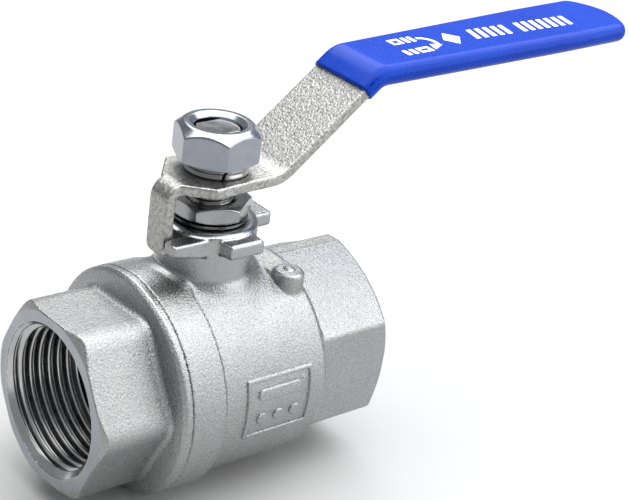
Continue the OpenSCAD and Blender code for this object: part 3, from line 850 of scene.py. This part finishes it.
sleeve = solid("grip_sleeve_vinyl", sleeve_field, (28, -13, 58), (119, 12, 74), 0.34, [VINYL])
piece(sleeve, "handle", "grip", "grip_sleeve")


# ---------------------------------------------------------------- print on the sleeve

def grip_point(u, v, lift):
    """Point on the sleeve's top: u along the grip, v across, lifted from the surface."""
    g = rad(GRIP)
    h = 1.15 + lift
    return (
        GRIP_X + u * math.cos(g) - h * math.sin(g), LEVER_Y + v,
        CORNER_Z + u * math.sin(g) + h * math.cos(g)
    )


def printed(name, shapes):
    """Thin closed slabs for flat outlines given in grip lengths and widths."""
    points, faces = [], []
    for outline in shapes:
        base = len(points)
        n = len(outline)
        for lift in (0.035, -0.05):
            points += [grip_point(u, v, lift) for u, v in outline]
        faces.append([base + i for i in range(n)])
        faces.append([base + n + i for i in range(n)][::-1])
        for i in range(n):
            j = (i + 1) % n
            faces.append([base + i, base + n + i, base + n + j, base + j])
    o = mesh_object(name, points, faces, None, [INK])
    o.data.polygons.foreach_set("use_smooth", [False] * len(o.data.polygons))
    return piece(o, "handle", "grip")


def bar(u0, u1, v0, v1, r=0.3):
    return fillet([(u0, v0), (u1, v0), (u1, v1), (u0, v1)], r, 4)


def frame_bars(u0, u1, v0, v1, t):
    return [
        bar(u0, u1, v0, v0 + t, 0.15), bar(u0, u1, v1 - t, v1, 0.15),
        bar(u0, u0 + t, v0 + t * 0.9, v1 - t * 0.9, 0.05), bar(u1 - t, u1, v0 + t * 0.9, v1 - t * 0.9, 0.05)
    ]


def arc_band(cu, cv, r0, r1, a0, a1, steps=14):
    out = [(cu + r1 * math.cos(rad(a)), cv + r1 * math.sin(rad(a))) for a in np.linspace(a0, a1, steps)]
    out += [(cu + r0 * math.cos(rad(a)), cv + r0 * math.sin(rad(a))) for a in np.linspace(a1, a0, steps)]
    return out


def tilted(outline, cu, cv, degrees):
    c, s = math.cos(rad(degrees)), math.sin(rad(degrees))
    return [(cu + (u - cu) * c - (v - cv) * s, cv + (u - cu) * s + (v - cv) * c) for u, v in outline]


def print_shapes():
    """Generic marks: two groups of bars and a hollow block, a turning arrow, a lozenge, a row of slanted bars."""
    small = frame_bars(12.0, 15.2, 1.5, 4.6, 0.85) + [bar(16.0, 17.1, 1.5, 4.6), bar(17.8, 18.9, 1.5, 4.6)]
    small += [bar(10.9, 12.1, -4.7, -1.9), bar(12.9, 14.1, -4.7, -1.9)]
    small += frame_bars(14.9, 18.6, -4.7, -1.9, 0.85)
    arrow = [arc_band(19.0, -0.3, 2.9, 3.9, 78, -48), [(23.0, -2.4), (19.3, -4.3), (20.1, -1.1)]]
    lozenge = [[(27.9, 3.2), (25.2, -0.3), (27.3, -3.8), (30.3, -0.3)]]
    row = []
    for k in range(13):
        if k == 5:
            continue
        u = 33.6 + 2.42 * k
        row.append(fillet([(u, -2.9), (u + 1.35, -2.9), (u + 2.45, 2.6), (u + 1.1, 2.6)], 0.2, 4))
    row = [tilted(o, 33.4, 0, -3.2) for o in row]
    return small + arrow + lozenge + row


printed("sleeve_print", print_shapes())


# ---------------------------------------------------------------- stage, light, camera

def camera():
    data = bpy.data.cameras.new("camera")
    data.sensor_width = 36
    data.lens = 95.38
    data.clip_start, data.clip_end = 0.01, 50
    cam = bpy.data.objects.new("camera", data)
    scene.collection.objects.link(cam)
    right = (0.76901761, -0.62631076, 0.12785442)
    up = (0.18457841, 0.4090626, 0.89364344)
    back = (-0.61199896, -0.66362837, 0.43017979)
    at = (-0.164765, -0.250990, 0.183596)
    cam.matrix_world = Matrix([[right[i], up[i], back[i], at[i]] for i in range(3)] + [[0, 0, 0, 1]])
    scene.camera = cam


def floor():
    m = Nodes("pale_floor")
    tone = m.noise(8, 3.0, 0.5)
    colour = m.ramp(tone, [(0.3, (0.48, 0.48, 0.48)), (0.7, (0.50, 0.50, 0.50))])
    m.set(Base_Color=colour, Roughness=0.8, Specular_IOR_Level=0.1)
    s, z = 6.0, -0.0253
    me = bpy.data.meshes.new("floor")
    me.from_pydata([(-s, -s, z), (s, -s, z), (s, s, z), (-s, s, z)], [], [(0, 1, 2, 3)])
    me.materials.append(m.mat)
    o = bpy.data.objects.new("floor", me)
    scene.collection.objects.link(o)


def area(name, at, target, size_x, size_y, power, colour=(1, 1, 1)):
    data = bpy.data.lights.new(name, "AREA")
    data.shape = "RECTANGLE"
    data.size, data.size_y = size_x, size_y
    data.energy = power
    data.color = colour
    o = bpy.data.objects.new(name, data)
    o.location = at
    o.rotation_mode = "QUATERNION"
    o.rotation_quaternion = (Vector(target) - Vector(at)).to_track_quat("-Z", "Y")
    scene.collection.objects.link(o)


def panel(name, at, target, size_x, size_y, radiance, colour=(1, 1, 1)):
    area(name, at, target, size_x, size_y, radiance * math.pi * size_x * size_y, colour)


def lights():
    world = bpy.data.worlds.new("studio")
    scene.world = world
    world.use_nodes = True
    world.node_tree.nodes["Background"].inputs["Color"].default_value = (0.95, 0.97, 1.0, 1)
    world.node_tree.nodes["Background"].inputs["Strength"].default_value = 0.40
    panel("overhead", (0.25, 0.1, 0.9), (0.05, 0, 0), 1.6, 1.6, 3.7)
    panel("front_right", (0.70, -0.75, 0.42), (0.035, 0, 0), 0.95, 0.75, 2.6)


scene.view_settings.view_transform = "Standard"

for name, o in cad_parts.items():
    if o.hide_render:
        continue
    if name.startswith(("seat", "packing", "thrust", "body_gasket")):
        use = PTFE
    elif name.startswith("disc"):
        use = DARK
    else:
        use = BRIGHT
    o.data.materials.clear()
    o.data.materials.append(use)

floor()
lights()
camera()
